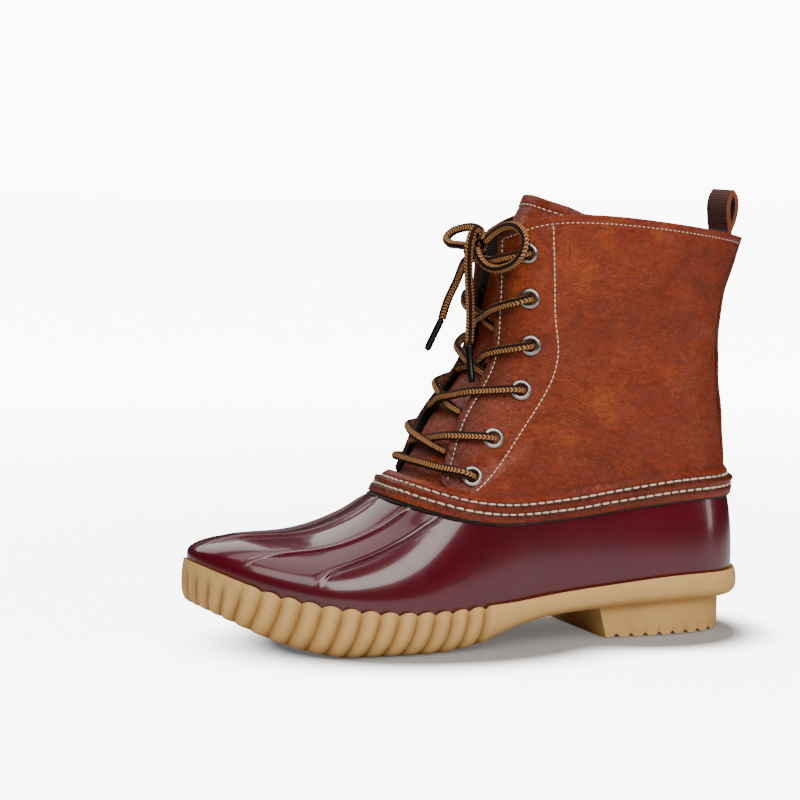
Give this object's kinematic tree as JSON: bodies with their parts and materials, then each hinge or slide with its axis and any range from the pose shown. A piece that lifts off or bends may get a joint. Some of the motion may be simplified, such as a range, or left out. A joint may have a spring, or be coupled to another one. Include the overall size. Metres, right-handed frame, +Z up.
{
  "type": "duck boot",
  "caption": "Left duck boot with a glossy rubber shell on a ribbed tan outsole, a laced brown leather shaft, a tongue and a pull loop at the heel.",
  "frame": {"origin": "on the floor under the middle of the heel, where the heel block rests", "axes": "+Z up from the floor, -X towards the toe, -Y towards the outer side of a left foot"},
  "size_m": [0.2666, 0.0996, 0.2049],
  "materials": {
    "sole_rubber": "matte, tan",
    "shell_rubber": "glossy, burgundy",
    "leather": "satin, clouded tan brown",
    "footbed": "dark cloth",
    "strap": "woven, brown",
    "steel": "polished",
    "lace_cord": "round braid, brown and gold",
    "aglet": "black"
  },
  "bodies": {
    "root": {"aglet_lateral": "aglet", "aglet_medial": "aglet", "back_stay": "leather", "eyelet_lateral_1": "steel", "eyelet_lateral_2": "steel", "eyelet_lateral_3": "steel", "eyelet_lateral_4": "steel", "eyelet_lateral_5": "steel", "eyelet_lateral_6": "steel", "eyelet_medial_1": "steel", "eyelet_medial_2": "steel", "eyelet_medial_3": "steel", "eyelet_medial_4": "steel", "eyelet_medial_5": "steel", "eyelet_medial_6": "steel", "insole": "footbed", "lace_bar": "lace_cord", "lace_bow": "lace_cord", "lace_cross_2": "lace_cord", "lace_cross_3": "lace_cord", "lace_cross_4": "lace_cord", "lace_cross_5": "lace_cord", "lace_end_lateral": "lace_cord", "lace_end_medial": "lace_cord", "lace_tie": "lace_cord", "outsole": "sole_rubber", "pull_loop": "strap", "shaft": "leather", "shell": "shell_rubber", "tongue": "leather"}
  },
  "joints": []
}
